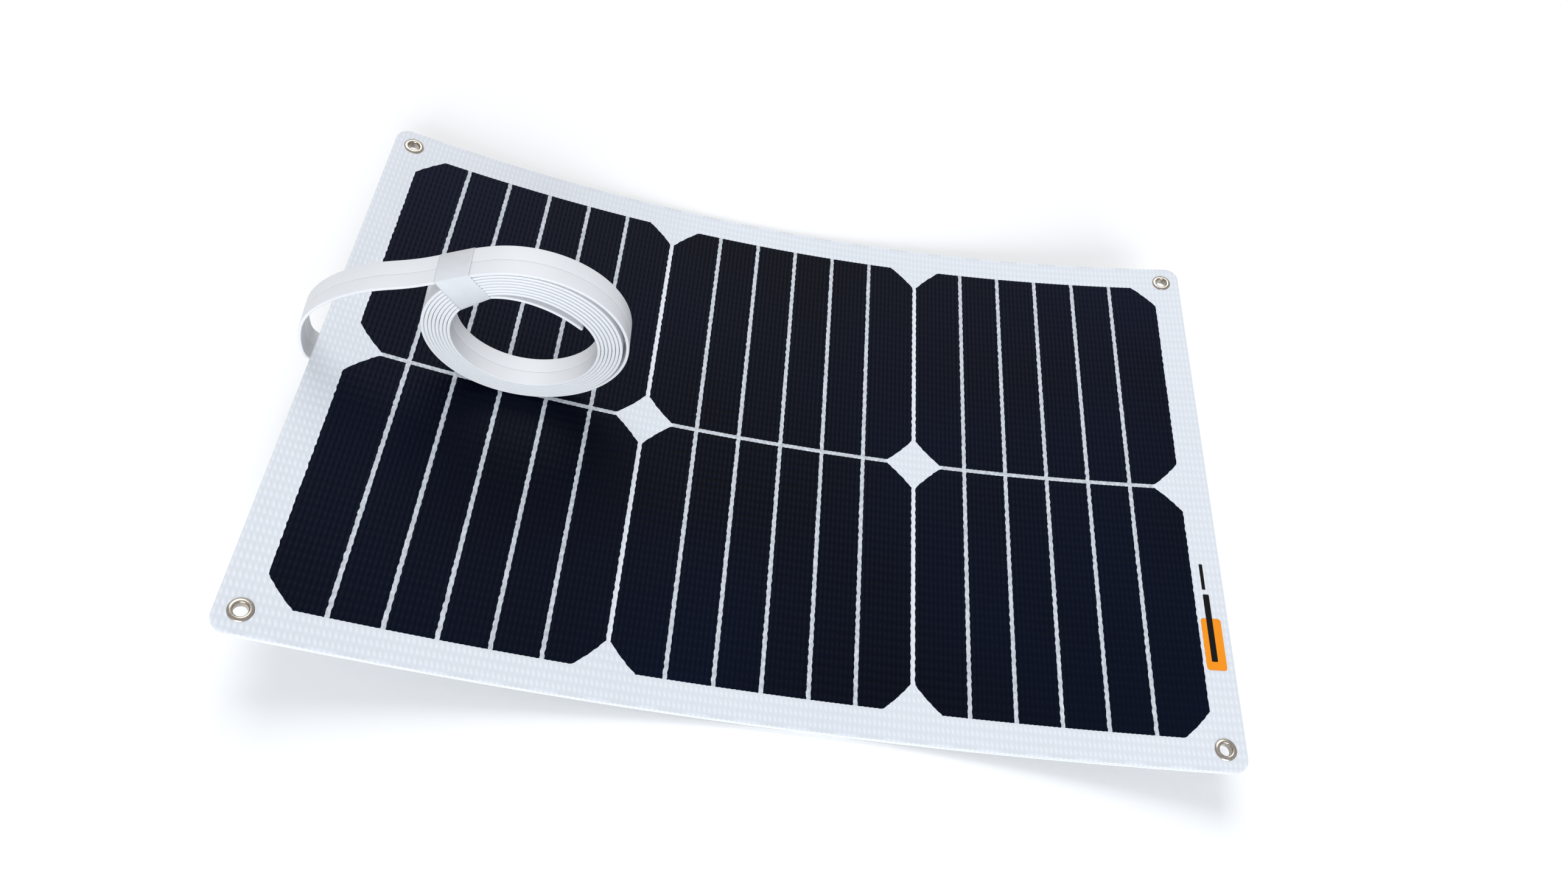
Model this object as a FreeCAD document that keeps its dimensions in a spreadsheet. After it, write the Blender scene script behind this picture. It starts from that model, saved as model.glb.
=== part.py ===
"""Flexible solar sheet: a thin curved laminate of 36 cell strips with four corner eyelets,
a rear junction box, and a flat twin cable wound into a coil that stands on the sheet.

Frame: millimetres, +Z up, X along the long side, Y along the short side.
The origin is below the middle of the sheet, on the surface that the sheet rests on.
"""
import FreeCAD, Part
import math
import os

doc = FreeCAD.newDocument("FlexibleSolarSheet")
V = FreeCAD.Vector

# ---------------------------------------------------------------- driving dimensions, mm and degrees
DIMENSIONS = {
    "sheet_length": 436.0,
    "sheet_width": 280.0,
    "corner_radius": 7.0,
    "bend_radius": 872.0,
    "bend_skew": 9.5,
    "back_sheet_thick": 0.4,
    "rear_board_thick": 0.8,
    "rear_encapsulant_thick": 0.45,
    "cell_thick": 0.2,
    "front_encapsulant_thick": 0.45,
    "front_sheet_thick": 0.2,
    "wafer_side": 125.0,
    "wafer_radius": 80.0,
    "end_strip_width": 24.1,
    "strip_gap": 1.9,
    "wafer_gap": 2.0,
    "row_gap": 2.0,
    "link_thick": 0.15,
    "link_length": 5.0,
    "link_overlap": 2.0,
    "bus_width": 5.0,
    "bus_length": 104.0,
    "eyelet_span_long": 417.0,
    "eyelet_span_short": 260.0,
    "eyelet_hole_radius": 2.7,
    "eyelet_barrel_radius": 3.2,
    "eyelet_flange_radius": 4.85,
    "eyelet_rim_height": 0.6,
    "washer_radius": 5.3,
    "washer_thick": 0.5,
    "label_length": 56.0,
    "label_width": 9.4,
    "label_thick": 0.1,
    "blank_below": 2.0,
    "blank_above": 60.0,
    "bend_tool_length": 700.0,
    "cable_yaw": 3.3,
    "cable_width": 14.7,
    "cable_thick": 1.55,
    "conductor_width": 4.6,
    "conductor_thick": 0.5,
    "coil_radius": 45.3,
    "coil_hole_radius": 31.2,
    "coil_turn_pitch": 1.75,
    "coil_join_angle": 120.0,
    "tape_thick": 0.15,
    "junction_length": 34.0,
    "junction_width": 60.0,
    "junction_depth": 8.6,
    "junction_wall": 1.8,
    "junction_roof": 1.6,
    "junction_corner": 4.0,
    "adhesive_thick": 1.2,
    "lid_thick": 1.6,
    "lid_rim": 1.2,
    "fit_gap": 0.2,
    "gland_length": 9.0,
    "gland_root": 5.0,
    "gland_tip": 3.4,
    "gland_side": 2.0,
    "gland_tip_side": 1.2,
    "terminal_thick": 0.6,
    "terminal_width": 4.0,
    "terminal_foot": 6.0,
}
ROWS = 2
WAFERS_PER_ROW = 3
STRIPS_PER_WAFER = 6

sheet = doc.addObject("Spreadsheet::Sheet", "Dimensions")
for number, (alias, value) in enumerate(DIMENSIONS.items(), start=1):
    sheet.set(f"A{number}", alias.replace("_", " "))
    sheet.set(f"B{number}", str(value))
    sheet.setAlias(f"B{number}", alias)
doc.recompute()


def size(alias):
    """The value of a driving dimension."""
    return float(sheet.get(alias))


def bind(piece, **expressions):
    """Tie properties of an object to the sheet of dimensions."""
    for name, text in expressions.items():
        for alias in sorted(DIMENSIONS, key=len, reverse=True):
            text = text.replace(f"#{alias}", f"Dimensions.{alias}")
        piece.setExpression(name, text)


# ---------------------------------------------------------------- the bent surface
SKEW = math.radians(size("bend_skew"))
LAYERS = ["back_sheet", "rear_board", "rear_encapsulant", "cell", "front_encapsulant", "front_sheet"]


def below(layer):
    """How far the lower face of a layer is above the back face."""
    return sum(size(f"{name}_thick") for name in LAYERS[: LAYERS.index(layer)])


STACK = below("front_sheet") + size("front_sheet_thick")
CELL_RADIUS = size("bend_radius") - below("cell")


def bend_angle(u, v):
    """The turn of the surface at a place that is u, v from the middle on the flat sheet."""
    return (u * math.cos(SKEW) + v * math.sin(SKEW)) / CELL_RADIUS


def on_sheet(u, v, offset=0.0):
    """A point of the bent sheet: u and v on the flat sheet, offset above the back face."""
    turn = bend_angle(u, v)
    radius = size("bend_radius") - offset
    along = radius * math.sin(turn)
    across = v * math.cos(SKEW) - u * math.sin(SKEW)
    return V(
        along * math.cos(SKEW) - across * math.sin(SKEW),
        along * math.sin(SKEW) + across * math.cos(SKEW),
        size("bend_radius") - radius * math.cos(turn),
    )


def plan(u, v):
    """The plan position of a point of the cell plane."""
    point = on_sheet(u, v, below("cell"))
    return V(point.x, point.y, 0)


def surface_frame(u, v, offset=0.0):
    """A placement on the sheet whose Z is the surface's normal."""
    turn = bend_angle(u, v)
    normal = V(-math.sin(turn) * math.cos(SKEW), -math.sin(turn) * math.sin(SKEW), math.cos(turn))
    bend_axis = V(-math.sin(SKEW), math.cos(SKEW), 0)
    return FreeCAD.Placement(
        on_sheet(u, v, offset), FreeCAD.Rotation(bend_axis.cross(normal), bend_axis, normal, "ZXY")
    )


def bend_tool(name, depth):
    """A cylinder whose lowest part is a level of the laminate; depth is an expression above the back face."""
    tool = doc.addObject("Part::Cylinder", name)
    bind(tool, Radius=f"#bend_radius - ({depth})", Height="#bend_tool_length")
    axis = V(-math.sin(SKEW), math.cos(SKEW), 0)
    start = V(0, 0, size("bend_radius")) - axis * (size("bend_tool_length") / 2)
    tool.Placement = FreeCAD.Placement(start, FreeCAD.Rotation(V(0, 0, 1), axis))
    return tool


def combine(kind, name, base, tool):
    """A boolean of two objects: kind is Cut or Common."""
    piece = doc.addObject(f"Part::{kind}", name)
    piece.Base = base
    piece.Tool = tool
    return piece


def group(name, pieces):
    compound = doc.addObject("Part::Compound", name)
    compound.Links = pieces
    return compound


def fuse(name, pieces):
    union = doc.addObject("Part::MultiFuse", name)
    union.Shapes = pieces
    return union


nodes = []


def node(piece, name):
    """Mark an object as a sub-part that is written to its own file."""
    piece.Label = name
    nodes.append(piece)
    return piece


# ---------------------------------------------------------------- outlines on the flat sheet
def line(start, end):
    return Part.LineSegment(start, end)


def blank(name, edges):
    """An upright prism that is taller than the bent sheet, from closed outlines in plan."""
    sketch = doc.addObject("Sketcher::SketchObject", f"{name}_outline")
    sketch.addGeometry(edges, False)
    prism = doc.addObject("Part::Extrusion", f"{name}_blank")
    prism.Base = sketch
    prism.DirMode = "Custom"
    prism.Dir = V(0, 0, 1)
    prism.Solid = True
    bind(prism, LengthFwd="#blank_above", LengthRev="#blank_below")
    return prism


def rectangle(u_low, u_high, v_low, v_high):
    corners = [plan(u_low, v_low), plan(u_high, v_low), plan(u_high, v_high), plan(u_low, v_high)]
    return [line(corners[i], corners[(i + 1) % 4]) for i in range(4)]


def sheet_outline():
    """A rectangle with round corners."""
    half_length, half_width = size("sheet_length") / 2, size("sheet_width") / 2
    radius = size("corner_radius")
    inset = radius * (1 - math.cos(math.radians(45)))
    edges, ends = [], []
    for side_u, side_v in ((1, -1), (1, 1), (-1, 1), (-1, -1)):
        u, v = side_u * half_length, side_v * half_width
        on_long = plan(u - side_u * radius, v)
        middle = plan(u - side_u * inset, v - side_v * inset)
        on_short = plan(u, v - side_v * radius)
        first, last = (on_long, on_short) if side_u * side_v < 0 else (on_short, on_long)
        edges.append(Part.Arc(first, middle, last))
        ends.append((first, last))
    for i in range(4):
        edges.append(line(ends[i][1], ends[(i + 1) % 4][0]))
    return edges


def strip_outline(u_low, u_high, v_middle, cut_side):
    """A cell strip. cut_side is -1 or 1 where the wafer's round corners are on that side, else 0."""
    half = size("wafer_side") / 2
    v_low, v_high = v_middle - half, v_middle + half
    if not cut_side:
        return rectangle(u_low, u_high, v_low, v_high)
    wafer_middle = u_low + half if cut_side < 0 else u_high - half
    flat = math.sqrt(size("wafer_radius") ** 2 - half**2)
    diagonal = size("wafer_radius") * math.cos(math.radians(45))
    outer = u_low if cut_side < 0 else u_high
    inner = u_high if cut_side < 0 else u_low
    top = [
        plan(wafer_middle + cut_side * flat, v_high),
        plan(wafer_middle + cut_side * diagonal, v_middle + diagonal),
        plan(outer, v_middle + flat),
    ]
    bottom = [
        plan(outer, v_middle - flat),
        plan(wafer_middle + cut_side * diagonal, v_middle - diagonal),
        plan(wafer_middle + cut_side * flat, v_low),
    ]
    inner_low, inner_high = plan(inner, v_low), plan(inner, v_high)
    return [
        line(inner_high, top[0]),
        Part.Arc(*top),
        line(top[2], bottom[0]),
        Part.Arc(*bottom),
        line(bottom[2], inner_low),
        line(inner_low, inner_high),
    ]


def strip_spans():
    """(left edge, right edge, cut side) of each strip of a row, from left to right."""
    end = size("end_strip_width")
    middle = (size("wafer_side") - 2 * end) / (STRIPS_PER_WAFER - 2)
    wafer = size("wafer_side") + (STRIPS_PER_WAFER - 1) * size("strip_gap")
    row = WAFERS_PER_ROW * wafer + (WAFERS_PER_ROW - 1) * size("wafer_gap")
    spans, u = [], -row / 2
    for _ in range(WAFERS_PER_ROW):
        for place in range(STRIPS_PER_WAFER):
            at_end = place in (0, STRIPS_PER_WAFER - 1)
            width = end if at_end else middle
            cut_side = {0: -1, STRIPS_PER_WAFER - 1: 1}.get(place, 0)
            spans.append((u, u + width, cut_side))
            u += width + (size("strip_gap") if place < STRIPS_PER_WAFER - 1 else size("wafer_gap"))
    return spans


SPANS = strip_spans()
ROW_MIDDLE = (size("wafer_side") + size("row_gap")) / 2

# ---------------------------------------------------------------- levels of the laminate
depth_text = "0"
levels = {}
for layer in LAYERS:
    levels[layer] = bend_tool(f"level_under_{layer}", depth_text)
    depth_text += f" + #{layer}_thick"
levels["top"] = bend_tool("level_front_face", depth_text)
levels["label_top"] = bend_tool("level_label_top", f"{depth_text} + #label_thick")
levels["link"] = bend_tool(
    "level_under_links",
    "#back_sheet_thick + #rear_board_thick + #rear_encapsulant_thick - #link_thick",
)


def shell(name, low, high):
    return combine("Cut", f"{name}_shell", levels[low], levels[high])


# ---------------------------------------------------------------- the vertical plane of the cable
YAW = math.radians(size("cable_yaw"))
PLANE_START = V(-218.0, -0.7, 0)
ALONG = V(math.cos(YAW), math.sin(YAW), 0)
ACROSS = V(-math.sin(YAW), math.cos(YAW), 0)
UP = V(0, 0, 1)


def in_plane(a, height):
    """A point of the cable's plane: a inward from the sheet's edge, and height above the floor."""
    return PLANE_START + ALONG * a + UP * height


def surface_height(a, offset):
    """The height of a level of the sheet in the cable's plane."""
    point = in_plane(a, 0)
    radius = size("bend_radius") - offset
    from_line = point.x * math.cos(SKEW) + point.y * math.sin(SKEW)
    return size("bend_radius") - math.sqrt(radius**2 - from_line**2)


def surface_slope(a):
    step = 0.5
    return math.atan2(surface_height(a + step, 0) - surface_height(a - step, 0), 2 * step)


# ---------------------------------------------------------------- junction box frame
JUNCTION_A = 35.0
slope = surface_slope(JUNCTION_A)
box_along = ALONG * math.cos(slope) + UP * math.sin(slope)
box_up = UP * math.cos(slope) - ALONG * math.sin(slope)
JUNCTION = FreeCAD.Placement(
    in_plane(JUNCTION_A, surface_height(JUNCTION_A, 0)),
    FreeCAD.Rotation(box_along, ACROSS, box_up, "ZXY"),
)
CABLE_DEPTH = -6.6


def local_box(name, corner, far_corner):
    """A box in the junction's own frame: x away from the edge, y across, z towards the sheet."""
    piece = doc.addObject("Part::Box", name)
    piece.Length = far_corner[0] - corner[0]
    piece.Width = far_corner[1] - corner[1]
    piece.Height = far_corner[2] - corner[2]
    piece.Placement = JUNCTION.multiply(FreeCAD.Placement(V(*corner), FreeCAD.Rotation()))
    return piece


def rounded(name, base, radius_alias, direction):
    """Round the edges of a piece that run along a direction."""
    doc.recompute()
    piece = doc.addObject("Part::Fillet", name)
    piece.Base = base
    radius = size(radius_alias)
    piece.Edges = [
        (number, radius, radius)
        for number, edge in enumerate(base.Shape.Edges, start=1)
        if abs(edge.tangentAt(edge.FirstParameter).dot(direction)) > 0.999
    ]
    return piece


# The slot lets the two terminals through the rear layers to the bus ribbons.
SLOT_X = -6.0
slot_half = size("cable_width") / 2
terminal_slot = local_box("terminal_slot", (SLOT_X - 2, -slot_half, -20), (SLOT_X + 2, slot_half, 3))

# ---------------------------------------------------------------- laminate
drills = []
EYELETS = [
    (u * size("eyelet_span_long") / 2, v * size("eyelet_span_short") / 2)
    for u, v in ((-1, -1), (1, -1), (1, 1), (-1, 1))
]
for number, (u, v) in enumerate(EYELETS, start=1):
    drill = doc.addObject("Part::Cylinder", f"eyelet_drill_{number}")
    bind(drill, Radius="#eyelet_barrel_radius", Height="#blank_below * 10")
    drill.Placement = surface_frame(u, v, -size("blank_below") * 5)
    drills.append(drill)

sheet_blank = combine("Cut", "sheet_drilled", blank("sheet", sheet_outline()), fuse("eyelet_drills", drills))
slotted_blank = combine("Cut", "sheet_slotted", sheet_blank, terminal_slot)

cell_shell = shell("cell", "cell", "front_encapsulant")
strips = []
for row in range(ROWS):
    v_middle = ROW_MIDDLE if row == 0 else -ROW_MIDDLE
    # The string runs to the right along the far row and back to the left along the near one.
    for u_low, u_high, cut_side in SPANS if row == 0 else reversed(SPANS):
        name = f"cell_strip_{len(strips) + 1:02d}"
        prism = blank(name, strip_outline(u_low, u_high, v_middle, cut_side))
        strips.append(node(combine("Common", f"{name}_solid", prism, cell_shell), name))

link_shell = shell("link", "link", "cell")
link_edges = []
for (_, left_end, _), (right_start, _, _) in zip(SPANS, SPANS[1:]):
    for row in (1, -1):
        for place in (-0.25, 0.25):
            v_link = row * ROW_MIDDLE + place * size("wafer_side")
            link_edges += rectangle(
                left_end - size("link_overlap"),
                right_start + size("link_overlap"),
                v_link - size("link_length") / 2,
                v_link + size("link_length") / 2,
            )
cell_links = node(combine("Common", "cell_links_solid", blank("links", link_edges), link_shell), "cell_links")

BUS_U = -190.8
BUS_SPLIT = 1.0
half_bus = size("bus_width") / 2
bus_positive = combine(
    "Common",
    "bus_positive_solid",
    blank(
        "bus_positive",
        rectangle(BUS_U - half_bus, BUS_U + half_bus, BUS_SPLIT + 1, size("bus_length")),
    ),
    link_shell,
)
bus_negative = combine(
    "Common",
    "bus_negative_solid",
    blank(
        "bus_negative",
        rectangle(BUS_U - half_bus, BUS_U + half_bus, -size("bus_length"), BUS_SPLIT - 1),
    ),
    link_shell,
)
row_bridge = combine(
    "Common",
    "row_bridge_solid",
    blank(
        "row_bridge",
        rectangle(-BUS_U - half_bus, -BUS_U + half_bus, -size("bus_length"), size("bus_length")),
    ),
    link_shell,
)
# The three ribbons are one node: two poles on the left and the bridge that joins the rows on the right.
node(group("bus_ribbons_group", [bus_positive, bus_negative, row_bridge]), "bus_ribbons")

node(
    combine("Common", "back_sheet_solid", slotted_blank, shell("back", "back_sheet", "rear_board")),
    "back_sheet",
)
node(
    combine("Common", "rear_board_solid", slotted_blank, shell("board", "rear_board", "rear_encapsulant")),
    "rear_board",
)
node(
    combine("Common", "rear_encapsulant_solid", slotted_blank, shell("rear", "rear_encapsulant", "link")),
    "rear_encapsulant",
)
# The encapsulant that flowed round the links and between the cells, one thin web for each.
link_level = combine("Common", "link_level", slotted_blank, link_shell)
conductor_field = group("conductor_field", [cell_links, bus_positive, bus_negative, row_bridge])
node(combine("Cut", "link_web_solid", link_level, conductor_field), "encapsulant_round_links")
cell_level = combine("Common", "cell_level", sheet_blank, shell("cell_level", "cell", "front_encapsulant"))
cell_field = group("cell_field", strips)
node(combine("Cut", "cell_web_solid", cell_level, cell_field), "encapsulant_between_cells")
front_shell = shell("front", "front_encapsulant", "front_sheet")
node(combine("Common", "front_encapsulant_solid", sheet_blank, front_shell), "front_encapsulant")
node(combine("Common", "front_sheet_solid", sheet_blank, shell("cover", "front_sheet", "top")), "front_sheet")

LABEL_U, LABEL_V = 209.9, -67.0
label_edges = rectangle(
    LABEL_U - size("label_width") / 2,
    LABEL_U + size("label_width") / 2,
    LABEL_V - size("label_length") / 2,
    LABEL_V + size("label_length") / 2,
)
node(
    combine("Common", "label_solid", blank("label", label_edges), shell("label", "top", "label_top")),
    "rating_label",
)


# ---------------------------------------------------------------- eyelets
def turned(name, outline, placement):
    """A body turned from an outline of (radius, height) points about its own Z."""
    body = doc.addObject("PartDesign::Body", name)
    plane = next(f for f in body.Origin.OriginFeatures if f.Role == "XZ_Plane")
    sketch = body.newObject("Sketcher::SketchObject", f"{name}_section")
    sketch.AttachmentSupport = [(plane, "")]
    sketch.MapMode = "FlatFace"
    points = [V(radius, height, 0) for radius, height in outline]
    sketch.addGeometry([line(p, q) for p, q in zip(points, points[1:] + points[:1])], False)
    revolution = body.newObject("PartDesign::Revolution", f"{name}_turn")
    revolution.Profile = sketch
    revolution.ReferenceAxis = (sketch, ["V_Axis"])
    revolution.Angle = 360
    body.Placement = placement
    return body


hole, barrel = size("eyelet_hole_radius"), size("eyelet_barrel_radius")
flange, rim = size("eyelet_flange_radius"), size("eyelet_rim_height")
washer, washer_thick = size("washer_radius"), size("washer_thick")
eyelet_section = [
    (hole, -washer_thick - rim),
    (hole + 0.9, -washer_thick - rim),
    (hole + 1.5, -washer_thick - rim / 2),
    (hole + 1.5, -washer_thick),
    (barrel, -washer_thick),
    (barrel, STACK),
    (flange, STACK),
    (flange, STACK + rim / 3),
    (flange - 0.5, STACK + rim * 0.85),
    (flange - 1.1, STACK + rim),
    (hole, STACK + rim),
]
washer_section = [
    (barrel, -washer_thick),
    (washer, -washer_thick),
    (washer, -washer_thick / 4),
    (washer - 0.3, 0),
    (barrel, 0),
]
eyelets, washers = [], []
for number, (u, v) in enumerate(EYELETS, start=1):
    eyelets.append(turned(f"eyelet_{number}", eyelet_section, surface_frame(u, v)))
    washers.append(turned(f"eyelet_washer_{number}", washer_section, surface_frame(u, v)))
node(group("eyelet_group", eyelets), "eyelets")
node(group("washer_group", washers), "eyelet_washers")

# ---------------------------------------------------------------- junction box
half_x, half_y = size("junction_length") / 2, size("junction_width") / 2
wall, roof, gap = size("junction_wall"), size("junction_roof"), size("fit_gap")
top = -size("adhesive_thick")
floor = top - size("junction_depth")
gland_half_y = size("cable_width") / 2 + size("gland_side")

pad = local_box("adhesive_block", (-half_x + 1, -half_y + 1, top), (half_x - 1, half_y - 1, 3))
pad_cut = combine("Cut", "adhesive_under_sheet", pad, levels["back_sheet"])
node(combine("Cut", "adhesive_solid", pad_cut, terminal_slot), "junction_adhesive")

case = rounded(
    "case_rounded",
    local_box("case_block", (-half_x, -half_y, floor), (half_x, half_y, top)),
    "junction_corner",
    box_up,
)
cavity = local_box(
    "case_cavity", (-half_x + wall, -half_y + wall, floor - 1), (half_x - wall, half_y - wall, top - roof)
)
gland_low, gland_high = CABLE_DEPTH - size("gland_root") / 2, CABLE_DEPTH + size("gland_root") / 2
window = local_box(
    "case_window",
    (-half_x - 1, -gland_half_y, gland_low),
    (-half_x + wall + 1, gland_half_y, gland_high),
)
node(
    combine("Cut", "case_solid", case, fuse("case_openings", [cavity, window, terminal_slot])),
    "junction_case",
)

lid_plate = rounded(
    "lid_rounded",
    local_box("lid_plate", (-half_x, -half_y, floor - size("lid_thick")), (half_x, half_y, floor)),
    "junction_corner",
    box_up,
)
inset = wall + gap
rim_outer = local_box(
    "lid_rim_outer", (-half_x + inset, -half_y + inset, floor), (half_x - inset, half_y - inset, floor + 1.2)
)
inset += size("lid_rim")
rim_inner = local_box(
    "lid_rim_inner", (-half_x + inset, -half_y + inset, floor), (half_x - inset, half_y - inset, floor + 2)
)
lid_rim = combine("Cut", "lid_rim_ring", rim_outer, rim_inner)
lid = fuse("lid_joined", [lid_plate, lid_rim])

# Strain relief: a plug in the case's window, a flange inside and a tapered sleeve outside.
plug = local_box(
    "gland_plug",
    (-half_x, -gland_half_y, gland_low),
    (-half_x + wall, gland_half_y, gland_high),
)
keeper = local_box(
    "gland_keeper",
    (-half_x + wall, -gland_half_y - 1.2, gland_low),
    (-half_x + wall + 1.4, gland_half_y + 1.2, gland_high + 0.8),
)
sleeve = doc.addObject("Part::Wedge", "gland_sleeve")
bind(
    sleeve,
    Ymax="#gland_length",
    Xmin="-(#cable_width / 2 + #gland_side)",
    Xmax="#cable_width / 2 + #gland_side",
    X2min="-(#cable_width / 2 + #gland_tip_side)",
    X2max="#cable_width / 2 + #gland_tip_side",
    Zmin="-(#gland_root / 2)",
    Zmax="#gland_root / 2",
    Z2min="-(#gland_tip / 2)",
    Z2max="#gland_tip / 2",
)
sleeve.Placement = JUNCTION.multiply(
    FreeCAD.Placement(V(-half_x, 0, CABLE_DEPTH), FreeCAD.Rotation(V(0, 0, 1), 90))
)
half_cable, half_thick = size("cable_width") / 2, size("cable_thick") / 2
passage = local_box(
    "gland_passage",
    (-half_x - size("gland_length") - 1, -half_cable, CABLE_DEPTH - half_thick),
    (-half_x + wall + 3, half_cable, CABLE_DEPTH + half_thick),
)
gland = node(
    combine("Cut", "gland_solid", fuse("gland_joined", [plug, keeper, sleeve]), passage),
    "cable_gland",
)
node(combine("Cut", "lid_solid", lid, gland), "junction_lid")

# Terminals: a foot on each conductor and a blade up to the bus ribbon.
core_middle = size("cable_width") / 4
foot_low = CABLE_DEPTH + size("conductor_thick") / 2
foot_high = foot_low + size("terminal_thick")
half_terminal = size("terminal_width") / 2
terminals, leads = [], []
for side in (-1, 1):
    y = side * core_middle
    foot = local_box(
        f"terminal_foot_{side}",
        (SLOT_X - size("terminal_foot") / 2, y - half_terminal, foot_low),
        (SLOT_X + size("terminal_foot") / 2, y + half_terminal, foot_high),
    )
    blade = local_box(
        f"terminal_blade_{side}",
        (SLOT_X - size("terminal_thick") / 2, y - half_terminal + 0.5, foot_low),
        (SLOT_X + size("terminal_thick") / 2, y + half_terminal - 0.5, 3),
    )
    joined = fuse(f"terminal_joined_{side}", [foot, blade])
    terminals.append(combine("Cut", f"terminal_{side}", joined, levels["link"]))
    leads.append(
        local_box(f"diode_lead_{side}", (SLOT_X + 1, y - 0.5, foot_high), (3.5, y + 0.5, foot_high + 0.4))
    )
node(group("terminal_group", terminals), "terminals")
diode_body = local_box(
    "diode_block",
    (3.0, -core_middle - 1.5, CABLE_DEPTH - 0.6),
    (8.0, core_middle + 1.5, CABLE_DEPTH + 2.4),
)
node(fuse("diode_joined", [diode_body] + leads), "bypass_diode")

# ---------------------------------------------------------------- flat twin cable
coil_radius, pitch = size("coil_radius"), size("coil_turn_pitch")
COIL_A = 93.6
REST_GAP = 0.05


def coil_height():
    """The height of the coil's middle, where its round rests on the front face."""
    angle_steps = 60
    best = 0.0
    for i in range(-angle_steps, angle_steps + 1):
        angle = math.radians(-90 + i * 0.5)
        a = COIL_A + coil_radius * math.cos(angle)
        best = max(best, surface_height(a, STACK) - coil_radius * math.sin(angle))
    return best + REST_GAP


COIL_Z = coil_height()
join = math.radians(size("coil_join_angle"))
line_radius = coil_radius - size("cable_thick") / 2
cable_end = (COIL_A + line_radius * math.cos(join), COIL_Z + line_radius * math.sin(join))


def from_junction(x, z):
    """The plane coordinates of a point of the junction's own frame."""
    base = surface_height(JUNCTION_A, 0)
    return (
        JUNCTION_A + x * math.cos(slope) - z * math.sin(slope),
        base + x * math.sin(slope) + z * math.cos(slope),
    )


JACKET_START_X = -half_x + wall + 3.0
CONDUCTOR_START_X = SLOT_X + size("terminal_foot") / 2
# The free stretch, chosen by hand: out of the gland, round the sheet's edge and over to the coil.
ROUTE = [
    (-2.6, 20.9),
    (-3.2, 34.0),
    (0.8, 51.5),
    (13.0, 66.5),
    (30.0, 77.5),
    (47.5, 83.0),
    (59.5, 89.0),
    cable_end,
]
RUN_SHARE = 0.45


def rounded_path(points):
    """Straight runs joined by tangent arcs: ((start, end) or (start, middle, end) with a bend sign)."""
    pieces, radii, here = [], [], points[0]
    for before, corner, after in zip(points, points[1:], points[2:]):
        run_in = (corner[0] - before[0], corner[1] - before[1])
        run_out = (after[0] - corner[0], after[1] - corner[1])
        length_in, length_out = math.hypot(*run_in), math.hypot(*run_out)
        sideways = run_in[0] * run_out[1] - run_in[1] * run_out[0]
        onward = run_in[0] * run_out[0] + run_in[1] * run_out[1]
        turn = math.atan2(sideways, onward)
        setback = RUN_SHARE * min(length_in, length_out)
        radius = setback / math.tan(abs(turn) / 2)
        radii.append(radius)
        way_in = (run_in[0] / length_in, run_in[1] / length_in)
        way_out = (run_out[0] / length_out, run_out[1] / length_out)
        arc_start = (corner[0] - way_in[0] * setback, corner[1] - way_in[1] * setback)
        arc_end = (corner[0] + way_out[0] * setback, corner[1] + way_out[1] * setback)
        side = math.copysign(1, turn)
        middle_of_bend = (arc_start[0] - side * way_in[1] * radius, arc_start[1] + side * way_in[0] * radius)
        pieces.append(("run", here, arc_start, way_in))
        pieces.append(("arc", arc_start, arc_end, middle_of_bend, radius, side))
        here = arc_end
    last = points[-1]
    length = math.hypot(last[0] - here[0], last[1] - here[1])
    pieces.append(("run", here, last, ((last[0] - here[0]) / length, (last[1] - here[1]) / length)))
    return pieces, radii


def path_length(pieces):
    total = 0.0
    for piece in pieces:
        chord = math.hypot(piece[2][0] - piece[1][0], piece[2][1] - piece[1][1])
        total += chord if piece[0] == "run" else 2 * piece[4] * math.asin(chord / 2 / piece[4])
    return total


def ribbon(name, points, thickness, low, high):
    """A flat strip that follows a route in the cable's plane, from low to high across it."""
    pieces, radii = rounded_path(points)
    sides = []
    for shift in (thickness / 2, -thickness / 2):
        edges = []
        for piece in pieces:
            if piece[0] == "run":
                _, start, end, way = piece
                nudge = (-way[1] * shift, way[0] * shift)
                first = V(start[0] + nudge[0], start[1] + nudge[1], 0)
                last = V(end[0] + nudge[0], end[1] + nudge[1], 0)
                edges.append(line(first, last))
            else:
                _, start, end, centre, radius, side = piece
                scale = (radius - side * shift) / radius
                pivot = V(*centre, 0)
                first = pivot + (V(*start, 0) - pivot) * scale
                last = pivot + (V(*end, 0) - pivot) * scale
                outward = (first + last) * 0.5 - pivot
                top = pivot + outward.normalize() * radius * scale
                edges.append(Part.Arc(first, top, last))
        sides.append(edges)
    caps = [
        line(sides[0][-1].EndPoint, sides[1][-1].EndPoint),
        line(sides[1][0].StartPoint, sides[0][0].StartPoint),
    ]
    return across_plane(name, sides[0] + sides[1] + caps, low, high), pieces, radii


def across_plane(name, edges, low, high):
    """Extrude a closed outline of the cable's plane across it."""
    sketch = doc.addObject("Sketcher::SketchObject", f"{name}_profile")
    sketch.addGeometry(edges, False)
    start = PLANE_START + ACROSS * low
    sketch.Placement = FreeCAD.Placement(start, FreeCAD.Rotation(ALONG, UP, -ACROSS, "ZXY"))
    piece = doc.addObject("Part::Extrusion", f"{name}_strip")
    piece.Base = sketch
    piece.DirMode = "Custom"
    piece.Dir = ACROSS
    piece.LengthFwd = high - low
    piece.Solid = True
    return piece


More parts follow.
